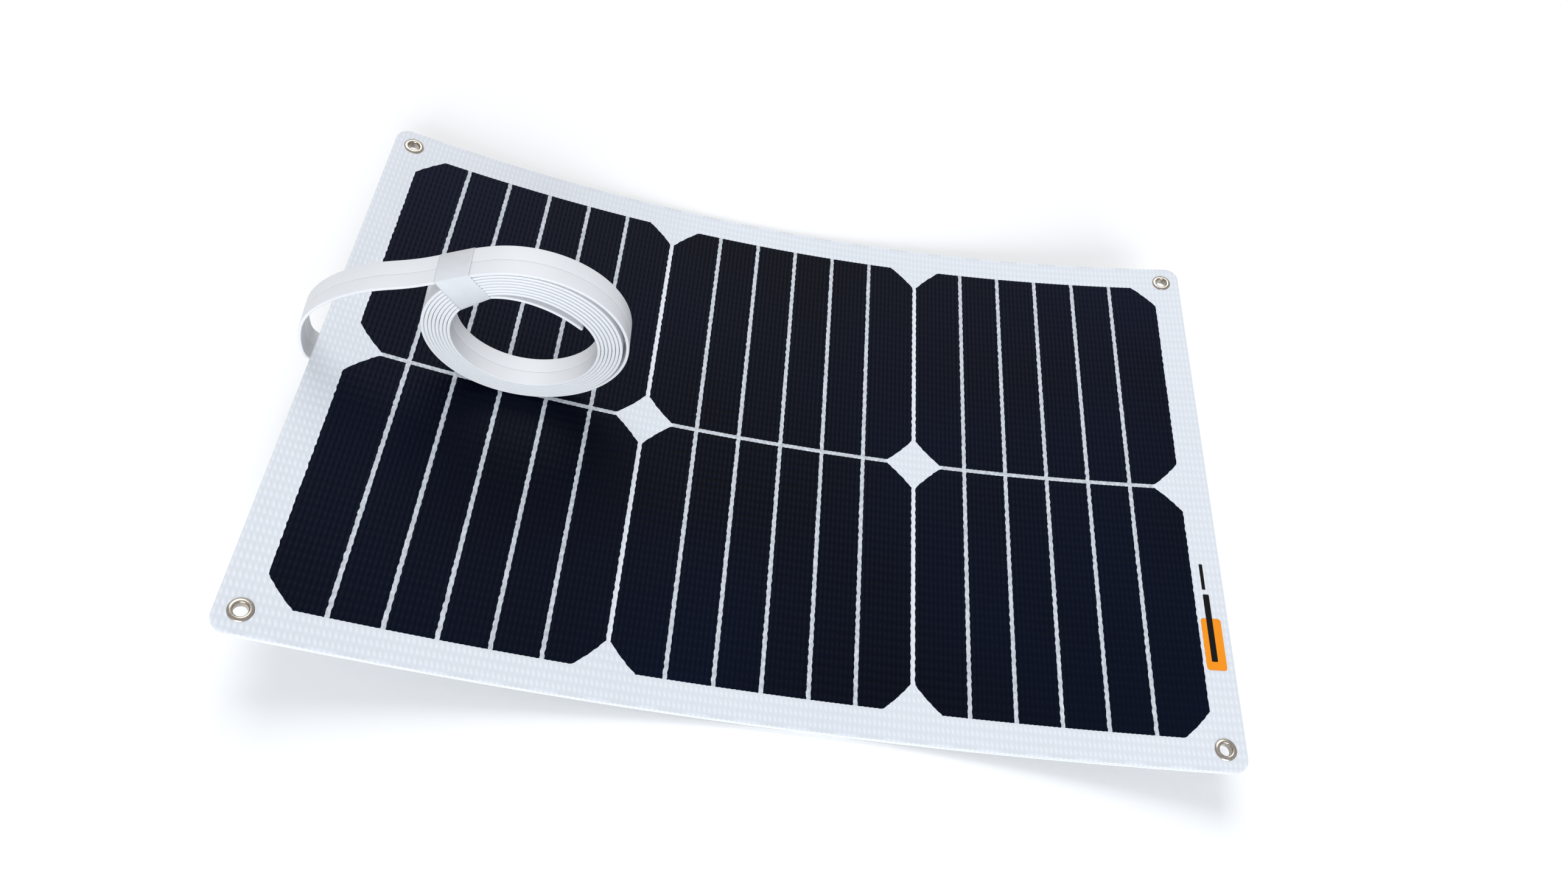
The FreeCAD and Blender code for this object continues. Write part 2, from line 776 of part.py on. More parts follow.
core_width = size("cable_width") / 2
cores = {"front": (-core_width, 0.0), "rear": (0.0, core_width)}
jacket_route = [from_junction(JACKET_START_X, CABLE_DEPTH)] + ROUTE
conductor_route = [from_junction(CONDUCTOR_START_X, CABLE_DEPTH)] + ROUTE
conductors, tails = [], []
for side, (low, high) in cores.items():
    middle = (low + high) / 2
    half_conductor = size("conductor_width") / 2
    conductor, _, _ = ribbon(
        f"conductor_{side}",
        conductor_route,
        size("conductor_thick"),
        middle - half_conductor,
        middle + half_conductor,
    )
    conductors.append(conductor)
    jacket, pieces, radii = ribbon(f"jacket_{side}", jacket_route, size("cable_thick"), low, high)
    tails.append((node(combine("Cut", f"tail_{side}", jacket, conductor), f"cable_tail_{side}"), jacket))
node(group("conductor_group", conductors), "cable_conductors")


def coil_outline():
    """The coil's outer side is one turn of a spiral, in two half rounds; its step meets the cable's end."""

    def at(centre, radius, degrees):
        angle = math.radians(degrees)
        return V(centre[0] + radius * math.cos(angle), centre[1] + radius * math.sin(angle), 0)

    start = size("coil_join_angle")
    first_centre = (COIL_A, COIL_Z)
    small = coil_radius - pitch / 2
    shift = coil_radius - small
    opposite = math.radians(start - 180)
    second_centre = (COIL_A + shift * math.cos(opposite), COIL_Z + shift * math.sin(opposite))
    begin = at(first_centre, coil_radius, start)
    across = at(first_centre, coil_radius, start - 180)
    finish = at(second_centre, small, start - 360)
    hole = Part.Circle(V(COIL_A, COIL_Z, 0), V(0, 0, 1), size("coil_hole_radius"))
    return [
        Part.Arc(begin, at(first_centre, coil_radius, start - 90), across),
        Part.Arc(across, at(second_centre, small, start - 270), finish),
        line(finish, begin),
        hole,
    ]


coils = [
    node(across_plane(f"coil_{side}", coil_outline(), low, high), f"cable_coil_{side}")
    for side, (low, high) in cores.items()
]


# Clear tape round the coil where the cable joins it: a sleeve, open at both ends.
tape_near = math.radians(103.0)
tape_reach = 12.0
tape_clearance = 0.03


def tape_outline(gap, spare):
    """The outline of coil and cable, gap outside them and spare longer at each end."""
    outer, inner = coil_radius + gap, size("coil_hole_radius") - gap
    near = tape_near - spare / outer
    reach = tape_reach + spare
    far = join + math.atan2(reach, outer)

    def at(radius, angle):
        return V(COIL_A + radius * math.cos(angle), COIL_Z + radius * math.sin(angle), 0)

    over_join = at(outer, join)
    over_cable = over_join - V(math.sin(join), -math.cos(join), 0) * reach
    return [
        Part.Arc(at(inner, far), at(inner, (near + far) / 2), at(inner, near)),
        line(at(inner, near), at(outer, near)),
        Part.Arc(at(outer, near), at(outer, (near + join) / 2), over_join),
        line(over_join, over_cable),
        line(over_cable, at(inner, far)),
    ]


film = size("tape_thick")
tape_block = across_plane("tape", tape_outline(film, 0.0), -core_width - film, core_width + film)
tape_room = across_plane("tape_room", tape_outline(tape_clearance, 0.5), -core_width, core_width)
node(combine("Cut", "tape_sleeve", tape_block, tape_room), "coil_tape")

# ---------------------------------------------------------------- checks and export
doc.recompute()
for piece in doc.Objects:
    if "Invalid" in piece.State or "Error" in piece.State:
        raise RuntimeError(f"{piece.Name} failed: {piece.State}")
for piece in nodes:
    if piece.Shape.isNull() or not piece.Shape.isValid() or not piece.Shape.Solids:
        raise RuntimeError(f"{piece.Label} has no valid solid")

print("radii of the cable's bends, mm:", [round(r, 1) for r in radii])
expected = path_length(pieces) * size("cable_thick") * core_width
print(f"jacket volume {tails[0][1].Shape.Volume:.1f} mm3, section times length {expected:.1f} mm3")
print(f"free stretch {path_length(pieces):.1f} mm, coil middle at height {COIL_Z:.2f} mm")

os.makedirs("parts", exist_ok=True)
for piece in nodes:
    piece.Shape.exportStep(os.path.join("parts", f"{piece.Label}.step"))
print(len(nodes), "sub-parts written")
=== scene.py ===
"""Looks of the flexible solar sheet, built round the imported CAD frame. Metres, +Z up."""
import bpy
import bmesh
import math
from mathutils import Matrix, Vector, geometry


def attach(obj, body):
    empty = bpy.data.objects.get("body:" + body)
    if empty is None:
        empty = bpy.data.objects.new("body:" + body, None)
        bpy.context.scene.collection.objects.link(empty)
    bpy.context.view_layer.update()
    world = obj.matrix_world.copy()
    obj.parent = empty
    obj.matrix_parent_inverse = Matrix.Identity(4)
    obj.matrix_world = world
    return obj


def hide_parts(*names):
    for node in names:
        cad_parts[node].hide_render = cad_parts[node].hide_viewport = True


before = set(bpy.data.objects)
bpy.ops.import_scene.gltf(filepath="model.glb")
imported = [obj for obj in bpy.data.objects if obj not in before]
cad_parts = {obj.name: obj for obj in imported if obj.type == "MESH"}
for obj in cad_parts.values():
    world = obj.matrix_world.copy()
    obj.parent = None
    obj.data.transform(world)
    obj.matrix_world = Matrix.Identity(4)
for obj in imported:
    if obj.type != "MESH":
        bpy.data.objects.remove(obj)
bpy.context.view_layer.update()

MM = 0.001

# ---------------------------------------------------------------- sizes shared with the CAD, in metres
SHEET_LENGTH, SHEET_WIDTH, CORNER_RADIUS = 0.436, 0.280, 0.007
BEND_RADIUS = 0.872
BEND_SKEW = math.radians(9.5)
CELL_LEVEL, CELL_TOP, TOP_LEVEL = 1.65 * MM, 1.85 * MM, 2.5 * MM
EYELET_U, EYELET_V = 0.2085, 0.130
EYELET_HOLE, EYELET_BARREL, EYELET_FLANGE = 2.7 * MM, 3.2 * MM, 4.85 * MM
CABLE_YAW = math.radians(3.3)
CABLE_WIDTH, CABLE_THICK = 14.7 * MM, 1.55 * MM
PLANE_START = Vector((-0.218, -0.0007, 0))
COIL_RADIUS = 45.3 * MM
JOIN_DEGREES = 120.0

ALONG = Vector((math.cos(CABLE_YAW), math.sin(CABLE_YAW), 0))
ACROSS = Vector((-math.sin(CABLE_YAW), math.cos(CABLE_YAW), 0))
UP = Vector((0, 0, 1))


def on_sheet(u, v, level=0.0):
    """A point of the bent sheet: u, v on the flat sheet, level above the back face."""
    turn = (u * math.cos(BEND_SKEW) + v * math.sin(BEND_SKEW)) / (BEND_RADIUS - CELL_LEVEL)
    radius = BEND_RADIUS - level
    along = radius * math.sin(turn)
    across = v * math.cos(BEND_SKEW) - u * math.sin(BEND_SKEW)
    return Vector((
        along * math.cos(BEND_SKEW) - across * math.sin(BEND_SKEW),
        along * math.sin(BEND_SKEW) + across * math.cos(BEND_SKEW),
        BEND_RADIUS - radius * math.cos(turn),
    ))


def surface_normal(u, v):
    """The direction straight out of the bent face at u, v."""
    turn = (u * math.cos(BEND_SKEW) + v * math.sin(BEND_SKEW)) / (BEND_RADIUS - CELL_LEVEL)
    lean = -math.sin(turn)
    return Vector((lean * math.cos(BEND_SKEW), lean * math.sin(BEND_SKEW), math.cos(turn)))


# ---------------------------------------------------------------- camera
def add_camera():
    data = bpy.data.cameras.new("camera")
    data.lens = 23.64
    data.sensor_width = 36.0
    camera = bpy.data.objects.new("camera", data)
    camera.location = (-0.0717, -0.2650, 0.4330)
    camera.rotation_euler = [math.radians(d) for d in (30.77, -11.96, 3.84)]
    bpy.context.collection.objects.link(camera)
    bpy.context.scene.camera = camera


add_camera()


# ---------------------------------------------------------------- mesh helpers
def mesh_piece(name, verts, faces, material=None, smooth=True):
    mesh = bpy.data.meshes.new(name)
    mesh.from_pydata([tuple(v) for v in verts], [], faces)
    mesh.validate()
    mesh.update()
    piece = bpy.data.objects.new(name, mesh)
    bpy.context.collection.objects.link(piece)
    if material:
        mesh.materials.append(material)
    for polygon in mesh.polygons:
        polygon.use_smooth = smooth
    return piece


def recalc(piece):
    work = bmesh.new()
    work.from_mesh(piece.data)
    bmesh.ops.recalc_face_normals(work, faces=work.faces)
    work.to_mesh(piece.data)
    work.free()


def sweep(name, path, profile, material):
    """A strip with closed ends along a path in the cable's plane, from a loop of (across, out) offsets."""
    verts, faces = [], []
    count = len(profile)
    for i, point in enumerate(path):
        before, after = path[max(i - 1, 0)], path[min(i + 1, len(path) - 1)]
        tangent = (after - before).normalized()
        out = ACROSS.cross(tangent).normalized()
        for across, rise in profile:
            verts.append(point + ACROSS * across + out * rise)
    for i in range(len(path) - 1):
        for k in range(count):
            a, b = i * count + k, i * count + (k + 1) % count
            faces.append((a, b, b + count, a + count))
    faces.append(tuple(reversed(range(count))))
    faces.append(tuple((len(path) - 1) * count + k for k in range(count)))
    piece = mesh_piece(name, verts, faces, material)
    recalc(piece)
    return piece


# ---------------------------------------------------------------- node helpers
class Nodes:
    """Short hand for building a material's node tree."""

    def __init__(self, name):
        self.material = bpy.data.materials.new(name)
        self.material.use_nodes = True
        self.tree = self.material.node_tree
        self.shader = self.tree.nodes["Principled BSDF"]

    def new(self, kind, **values):
        node = self.tree.nodes.new(kind)
        for key, value in values.items():
            setattr(node, key, value)
        return node

    def link(self, output, target):
        self.tree.links.new(output, target)

    def put(self, socket, value):
        if hasattr(value, "is_output"):
            self.link(value, socket)
        else:
            socket.default_value = value

    def calc(self, operation, first, second=0.0, third=None):
        node = self.new("ShaderNodeMath", operation=operation)
        self.put(node.inputs[0], first)
        self.put(node.inputs[1], second)
        if third is not None:
            self.put(node.inputs[2], third)
        return node.outputs[0]

    def step(self, value, edge, soft):
        """0 below the edge and 1 above it, with a soft crossing."""
        node = self.new("ShaderNodeMapRange", interpolation_type="SMOOTHSTEP")
        self.put(node.inputs["Value"], value)
        node.inputs["From Min"].default_value = edge - soft
        node.inputs["From Max"].default_value = edge + soft
        return node.outputs["Result"]

    def spread(self, value, low, high, to_low=0.0, to_high=1.0):
        node = self.new("ShaderNodeMapRange")
        self.put(node.inputs["Value"], value)
        for socket, number in zip(node.inputs[1:5], (low, high, to_low, to_high)):
            socket.default_value = number
        return node.outputs["Result"]

    def noise(self, scale, detail=2.0, vector=None):
        node = self.new("ShaderNodeTexNoise")
        node.inputs["Scale"].default_value = scale
        node.inputs["Detail"].default_value = detail
        if vector is None:
            vector = self.new("ShaderNodeTexCoord").outputs["Object"]
        self.link(vector, node.inputs["Vector"])
        return node.outputs["Fac"]

    def mix(self, factor, first, second):
        node = self.new("ShaderNodeMix", data_type="RGBA")
        self.put(node.inputs["Factor"], factor)
        for socket, value in zip((node.inputs[6], node.inputs[7]), (first, second)):
            if hasattr(value, "is_output"):
                self.link(value, socket)
            else:
                socket.default_value = (*value, 1.0)
        return node.outputs[2]

    def bump(self, height, strength, distance, normal=None):
        node = self.new("ShaderNodeBump")
        node.inputs["Strength"].default_value = strength
        node.inputs["Distance"].default_value = distance
        self.link(height, node.inputs["Height"])
        if normal is not None:
            self.link(normal, node.inputs["Normal"])
        return node.outputs["Normal"]

    def set(self, **values):
        names = {
            "color": "Base Color",
            "rough": "Roughness",
            "metal": "Metallic",
            "normal": "Normal",
            "alpha": "Alpha",
            "specular": "Specular IOR Level",
        }
        for key, value in values.items():
            socket = self.shader.inputs[names[key]]
            if isinstance(value, tuple) and len(value) == 3:
                value = (*value, 1.0)
            self.put(socket, value)
        return self.material


def plain(name, low, high, rough, grain_scale, grain_depth, **more):
    """A solid-coloured material with slow colour variation, uneven gloss and a fine grain."""
    n = Nodes(name)
    cloud = n.noise(35.0, 3.0)
    grain = n.noise(grain_scale, 2.0)
    return n.set(
        color=n.mix(cloud, low, high),
        rough=n.spread(n.noise(90.0, 3.0), 0.3, 0.7, rough - 0.06, rough + 0.06),
        normal=n.bump(grain, 0.35, grain_depth),
        **more,
    )


# ---------------------------------------------------------------- the laminate's face
# Cells and emboss, in mm. A wafer is diced into strips, and the gaps widen it.
WAFER, WAFER_ARC, MIDDLE_STRIP = 125.0, 80.0, 19.2
STRIP_GAP, WAFER_GAP, ROW_GAP = 1.9, 2.0, 2.0
WEAVE_U, WEAVE_V = 2.2, 4.0
RELIEF = 0.12 * MM
# How far the ribs swing from row to row, their least and added height, the rows' own height, and the gain.
SWING, RIB_LOW, RIB_MORE, BAND, GAIN = 0.35, 0.58, 0.42, 0.45, 0.36


def waffle(u, v):
    """Height of the emboss from 0 to 1 at u, v in mm: rows of short ribs that lean from row to row."""
    row = 2 * math.pi * v / WEAVE_V
    rib = math.sin(2 * math.pi * u / WEAVE_U + SWING * math.sin(row))
    return 0.5 + GAIN * (rib * (RIB_LOW + RIB_MORE * math.cos(row)) + BAND * math.cos(row))


def weave(n, u, v):
    """The same waffle as nodes: its height, its rows and its ribs."""
    row = n.calc("MULTIPLY", v, 2 * math.pi / WEAVE_V)
    swing = n.calc("MULTIPLY", n.calc("SINE", row), SWING)
    rib_phase = n.calc("ADD", n.calc("MULTIPLY", u, 2 * math.pi / WEAVE_U), swing)
    rib = n.calc("SINE", rib_phase)
    band = n.calc("COSINE", row)
    lift = n.calc("MULTIPLY_ADD", band, RIB_MORE, RIB_LOW)
    height = n.calc("MULTIPLY", rib, lift)
    height = n.calc("MULTIPLY_ADD", band, BAND, height)
    return n.calc("MULTIPLY_ADD", height, GAIN, 0.5), band, rib


def cell_mask(n, u, v):
    """Two masks from flat sheet coordinates in mm: 1 on a cell strip, and 1 anywhere in a wafer."""
    soft = 0.09
    pitch = WAFER + 5 * STRIP_GAP + WAFER_GAP
    which = n.calc("MAXIMUM", n.calc("MINIMUM", n.calc("ROUND", n.calc("DIVIDE", u, pitch)), 1.0), -1.0)
    local = n.calc("MULTIPLY_ADD", which, -pitch, u)
    spacing = MIDDLE_STRIP + STRIP_GAP
    nearest = n.calc("ROUND", n.calc("DIVIDE", local, spacing))
    gap_number = n.calc("MAXIMUM", n.calc("MINIMUM", nearest, 2.0), -2.0)
    to_gap = n.calc("ABSOLUTE", n.calc("MULTIPLY_ADD", gap_number, -spacing, local))
    off_gap = n.step(to_gap, STRIP_GAP / 2, soft)
    side = n.calc("ABSOLUTE", local)
    inside = n.calc("SUBTRACT", 1.0, n.step(side, (pitch - WAFER_GAP) / 2, soft))
    height = n.calc("ABSOLUTE", v)
    off_row = n.step(height, ROW_GAP / 2, soft)
    below_top = n.calc("SUBTRACT", 1.0, n.step(height, ROW_GAP / 2 + WAFER, soft))
    from_middle = n.calc("SUBTRACT", side, 2.5 * STRIP_GAP)
    from_row = n.calc("SUBTRACT", height, (ROW_GAP + WAFER) / 2)
    reach = n.calc("SQRT", n.calc("ADD", n.calc("POWER", from_middle, 2.0), n.calc("POWER", from_row, 2.0)))
    in_round = n.calc("SUBTRACT", 1.0, n.step(reach, WAFER_ARC, soft))
    wafer = n.calc("MULTIPLY", n.calc("MULTIPLY", inside, below_top), in_round)
    return n.calc("MULTIPLY", n.calc("MULTIPLY", off_gap, off_row), wafer), wafer


def face_material():
    n = Nodes("laminate_face")
    flat = n.new("ShaderNodeUVMap", uv_map="flat")
    split = n.new("ShaderNodeSeparateXYZ")
    n.link(flat.outputs["UV"], split.inputs[0])
    # The map holds metres, with the middle of the sheet at 0.5, 0.5.
    u = n.calc("MULTIPLY_ADD", split.outputs[0], 1000.0, -500.0)
    v = n.calc("MULTIPLY_ADD", split.outputs[1], 1000.0, -500.0)
    height, band, rib = weave(n, u, v)
    # The emboss acts as small lenses, so edges seen through it waver.
    waver = n.calc("SINE", n.calc("MULTIPLY", v, 2 * math.pi / WEAVE_V))
    seen_u = n.calc("ADD", u, n.calc("MULTIPLY", waver, 0.10))
    wobble = n.new("ShaderNodeTexNoise")
    wobble.inputs["Scale"].default_value = 420.0
    n.link(flat.outputs["UV"], wobble.inputs["Vector"])
    seen_u = n.calc("ADD", seen_u, n.spread(wobble.outputs["Fac"], 0.3, 0.7, -0.15, 0.15))
    seen_v = n.calc("ADD", v, n.calc("MULTIPLY", rib, 0.07))
    cell, wafer = cell_mask(n, seen_u, seen_v)
    grey = n.noise(14.0, 3.0, vector=flat.outputs["UV"])
    white = n.mix(grey, (0.71, 0.735, 0.78), (0.77, 0.795, 0.835))
    gap = n.mix(n.spread(wobble.outputs["Fac"], 0.35, 0.65), (0.44, 0.47, 0.51), (0.66, 0.69, 0.73))
    white = n.mix(wafer, white, gap)
    # Painted shade: the white turns greyer down in the hollows of the emboss.
    white = n.mix(n.spread(height, 0.0, 0.75, 0.50, 0.0), white, (0.50, 0.54, 0.60))
    # Painted sheen: the cells' dark blue is lighter along the raised rows of the emboss and darker between
    # them.
    dark = n.mix(n.spread(band, -1.0, 1.0), (0.0010, 0.0020, 0.0050), (0.0021, 0.0037, 0.0090))
    # Bluish patches at random over the cells: partly the cells' own uneven blue tone, partly a painted blue
    # reflection veil.
    cloud = n.noise(5.0, 2.0, vector=flat.outputs["UV"])
    dark = n.mix(n.spread(cloud, 0.35, 0.65), dark, (0.0020, 0.0042, 0.0150))
    color = n.mix(cell, white, dark)
    rough = n.calc("MULTIPLY_ADD", cell, 0.08, 0.36)
    normal = n.bump(height, 0.9, 0.00026)
    return n.set(color=color, rough=rough, normal=normal, specular=0.045)


def rounded_loop(length, width, radius, steps=7):
    """Points round a rectangle with round corners, anticlockwise."""
    points = []
    for side_u, side_v, start in ((1, -1, -90), (1, 1, 0), (-1, 1, 90), (-1, -1, 180)):
        middle = (side_u * (length / 2 - radius), side_v * (width / 2 - radius))
        for i in range(steps + 1):
            angle = math.radians(start + 90 * i / steps)
            points.append((middle[0] + radius * math.cos(angle), middle[1] + radius * math.sin(angle)))
    return points


def filled(loop, spacing):
    """Add points along the long sides of a loop."""
    out = []
    for (a, b), (c, d) in zip(loop, loop[1:] + loop[:1]):
        parts = max(1, round(math.hypot(c - a, d - b) / spacing))
        out += [(a + (c - a) * i / parts, b + (d - b) * i / parts) for i in range(parts)]
    return out


def add_face():
    """The embossed face: a thin closed laminate with a waffle relief, soft edges and four eyelet holes."""
    spacing, coarse, soften, trim = 2 * MM, 8 * MM, 0.35 * MM, 0.1 * MM
    step_u, step_v = WEAVE_U / 3 * MM, WEAVE_V / 2 * MM
    edge = filled(rounded_loop(SHEET_LENGTH - trim, SHEET_WIDTH - trim, CORNER_RADIUS), spacing)
    scale_u, scale_v = 1 - 2 * soften / SHEET_LENGTH, 1 - 2 * soften / SHEET_WIDTH
    top_edge = [(u * scale_u, v * scale_v) for u, v in edge]
    holes = []
    ring = 28
    for side_u in (-1, 1):
        for side_v in (-1, 1):
            holes.append([
                (
                    side_u * EYELET_U + EYELET_BARREL * math.cos(2 * math.pi * i / ring),
                    side_v * EYELET_V + EYELET_BARREL * math.sin(2 * math.pi * i / ring),
                )
                for i in range(ring)
            ])
    points, edges = [], []
    for loop in [top_edge] + [list(reversed(h)) for h in holes]:
        first = len(points)
        points += loop
        edges += [(first + i, first + (i + 1) % len(loop)) for i in range(len(loop))]

    def fill(grid_u, grid_v, margin):
        """The rim and hole points with a grid between them, and the triangles of the face."""
        inner = []
        for i in range(-round(SHEET_LENGTH / 2 / grid_u), round(SHEET_LENGTH / 2 / grid_u) + 1):
            for j in range(-round(SHEET_WIDTH / 2 / grid_v), round(SHEET_WIDTH / 2 / grid_v) + 1):
                u, v = i * grid_u, j * grid_v
                near_hole = math.hypot(abs(u) - EYELET_U, abs(v) - EYELET_V) < EYELET_BARREL + margin
                corner = math.hypot(
                    max(abs(u) - SHEET_LENGTH / 2 + CORNER_RADIUS, 0),
                    max(abs(v) - SHEET_WIDTH / 2 + CORNER_RADIUS, 0),
                )
                if not near_hole and corner < CORNER_RADIUS - soften - margin:
                    inner.append((u, v))
        everything = [Vector(p) for p in points + inner]
        flat, _, triangles, *_ = geometry.delaunay_2d_cdt(everything, edges, [], 1, 1e-7)
        keep = []
        for a, b, c in triangles:
            u, v = (flat[a] + flat[b] + flat[c]) / 3
            if math.hypot(abs(u) - EYELET_U, abs(v) - EYELET_V) > EYELET_BARREL * 0.999:
                keep.append((a, b, c))
        return flat, keep

    work = bmesh.new()
    uv_layer = work.loops.layers.uv.new("flat")
    where = {}

    def vertex(u, v, level):
        vert = work.verts.new(on_sheet(u, v, level))
        where[vert] = (u, v)
        return vert

    flat, triangles = fill(step_u, step_v, 0.3 * MM)
    top = [vertex(p.x, p.y, TOP_LEVEL - RELIEF * (1 - waffle(p.x / MM, p.y / MM))) for p in flat]
    for a, b, c in triangles:
        work.faces.new((top[a], top[b], top[c]))
    flat, triangles = fill(coarse, coarse, 2 * MM)
    bottom = [vertex(p.x, p.y, CELL_TOP) for p in flat]
    for a, b, c in triangles:
        work.faces.new((bottom[c], bottom[b], bottom[a]))
    count = len(edge)
    high = [vertex(u, v, TOP_LEVEL - soften) for u, v in edge]
    low = [vertex(u, v, CELL_TOP) for u, v in edge]
    for i in range(count):
        j = (i + 1) % count
        for loop_a, loop_b in ((top[:count], high), (high, low), (low, bottom[:count])):
            work.faces.new((loop_a[i], loop_b[i], loop_b[j], loop_a[j]))
    start = count
    for hole in holes:
        size = len(hole)
        for i in range(size):
            a, b = start + i, start + (i + 1) % size
            work.faces.new((top[a], bottom[a], bottom[b], top[b]))
        start += size
    bmesh.ops.recalc_face_normals(work, faces=work.faces)
    for face in work.faces:
        for loop in face.loops:
            u, v = where[loop.vert]
            loop[uv_layer].uv = (u + 0.5, v + 0.5)
        face.smooth = True
    mesh = bpy.data.meshes.new("front_face")
    work.to_mesh(mesh)
    work.free()
    mesh.materials.append(face_material())
    piece = bpy.data.objects.new("front_face", mesh)
    bpy.context.collection.objects.link(piece)
    mark_sharp(piece, 40)
    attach(piece, "root")
    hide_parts("front_sheet", "front_encapsulant")
    return piece


def mark_sharp(piece, degrees):
    """Keep creases over an angle sharp while the rest shades smooth."""
    work = bmesh.new()
    work.from_mesh(piece.data)
    for edge in work.edges:
        if len(edge.link_faces) == 2 and edge.calc_face_angle(0) > math.radians(degrees):
            edge.smooth = False
    work.to_mesh(piece.data)
    work.free()


# ---------------------------------------------------------------- cable
def in_plane(a, height):
    return PLANE_START + ALONG * a * MM + UP * height * MM


# The free stretch in the cable's plane, mm: the junction's gland, round the edge, and over to the coil.
COIL_A, COIL_Z = 93.6, 56.93
LINE_RADIUS = (COIL_RADIUS - CABLE_THICK / 2) / MM
JOIN = math.radians(JOIN_DEGREES)
FREE_ROUTE = [
    (22.7, 15.1),
    (10.5, 17.9),
    (-2.6, 20.9),
    (-3.2, 34.0),
    (0.8, 51.5),
    (13.0, 66.5),
    (30.0, 77.5),
    (47.5, 83.0),
    (59.5, 89.0),
]
POINTS_PER_TURN = 20
# This isn't the width of a core, which is 7.35 mm and is what a flat cord should declare.
STRIP_THICK = 1.40 * MM
# The winding, in mm and degrees: its pitch, then where the turns stand apart, press together and sag.
TURN_STEP = 1.58
WHOLE_TURNS = 8
SLACK_DEGREES, SLACK_REACH, SLACK_GAP, SLACK_STEP = 22.0, 78.0, 1.5, 0.05
TIGHT_DEGREES, TIGHT_REACH, TIGHT_STEP = -95.0, 80.0, 0.15
SAG_DEGREES, SAG_REACH, SAG_STEP = 64.0, 60.0, 0.25
FORWARD_PER_TURN = 0.12
# The sprung inner end: (degrees, radius in mm), down to the cut.
LOOSE_END = [
    (107.0, 30.5),
    (94.0, 28.9),
    (81.0, 27.5),
    (67.0, 26.6),
    (54.0, 26.3),
    (42.0, 26.7),
    (31.0, 27.6),
]


def near_angle(degrees, middle, reach):
    """1 at the middle angle, falling smoothly to 0 at its reach."""
    away = (degrees - middle + 180) % 360 - 180
    return math.cos(math.pi / 2 * away / reach) ** 2 if abs(away) < reach else 0.0


def coil_route():
    """(along, height, forward) of each point of the coil, clockwise and inward from the join."""
    points = []
    for i in range(WHOLE_TURNS * POINTS_PER_TURN + 1):
        turns = i / POINTS_PER_TURN
        degrees = JOIN_DEGREES - 360.0 * turns
        # Each turn stays round and drops inside the last one just before the join.
        radius = LINE_RADIUS - TURN_STEP * (math.floor(turns) + (turns % 1) ** 3)
        # The outer turn stands off the others on the right.
        if turns > 1:
            radius -= near_angle(degrees, SLACK_DEGREES, SLACK_REACH) * (SLACK_GAP + SLACK_STEP * (turns - 1))
        radius -= near_angle(degrees, SAG_DEGREES, SAG_REACH) * SAG_STEP * turns
        radius += near_angle(degrees, TIGHT_DEGREES, TIGHT_REACH) * TIGHT_STEP * turns
        points.append((degrees, radius, FORWARD_PER_TURN * turns))
    points += [(degrees, radius, FORWARD_PER_TURN * WHOLE_TURNS) for degrees, radius in LOOSE_END]
    route = []
    for degrees, radius, forward in points:
        angle = math.radians(degrees)
        route.append((COIL_A + radius * math.cos(angle), COIL_Z + radius * math.sin(angle), forward))
    return route


def cable_line(name, offset):
    """The NURBS centreline of one core, and its points."""
    route = [(a, height, 0.0) for a, height in FREE_ROUTE] + coil_route()
    data = bpy.data.curves.new(name, "CURVE")
    data.dimensions = "3D"
    data.resolution_u = 5
    spline = data.splines.new("NURBS")
    spline.points.add(len(route) - 1)
    for point, (a, height, forward) in zip(spline.points, route):
        point.co = (*(in_plane(a, height) + ACROSS * (offset - forward * MM)), 1.0)
    spline.order_u = 3
    spline.use_endpoint_u = True
    holder = bpy.data.objects.new(name, data)
    bpy.context.collection.objects.link(holder)
    bpy.context.view_layer.update()
    traced = bpy.data.meshes.new_from_object(holder)
    points = [v.co.copy() for v in traced.vertices]
    bpy.data.objects.remove(holder)
    bpy.data.meshes.remove(traced)
    return points


def core_profile(side):
    """Section of one core: flat faces, a round outer edge, and a slope down to the groove between the cores.

    The slope is long on the front core and short on the rear one, so the groove shows as one bright line.
    """
    half_width, half_thick = CABLE_WIDTH / 4, STRIP_THICK / 2
    outer, dip = 0.46 * MM, 0.26 * MM
    slope = (0.26 if side > 0 else 0.95) * MM
    points = []
    corners = (
        (1, 1, outer, outer, 90),
        (1, -1, outer, outer, 0),
        (-1, -1, slope, dip, -90),
        (-1, 1, slope, dip, -180),
    )
    for corner_across, corner_out, wide, deep, start in corners:
        for i in range(5):
            angle = math.radians(start - 90 * i / 4)
            across = corner_across * (half_width - wide) + wide * math.cos(angle)
            out = corner_out * (half_thick - deep) + deep * math.sin(angle)
            points.append((side * across, out))
    return points


def jacket_material():
    n = Nodes("cable_jacket")
    cloud = n.noise(60.0, 3.0)
    color = n.mix(cloud, (0.70, 0.71, 0.73), (0.735, 0.745, 0.765))
    grain = n.noise(2600.0, 2.0)
    drawn = n.noise(240.0, 2.0)
    normal = n.bump(grain, 0.25, 0.00002, n.bump(drawn, 0.15, 0.00008))
    return n.set(
        color=color, rough=n.spread(cloud, 0.3, 0.7, 0.42, 0.52), normal=normal, specular=0.35
    )


# The tape: how far it reaches along the cable in mm, how much it rises on the way, and its film.
TAPE_REACH, TAPE_LIFT, TAPE_FILM = 15.0, 0.035, 0.08 * MM


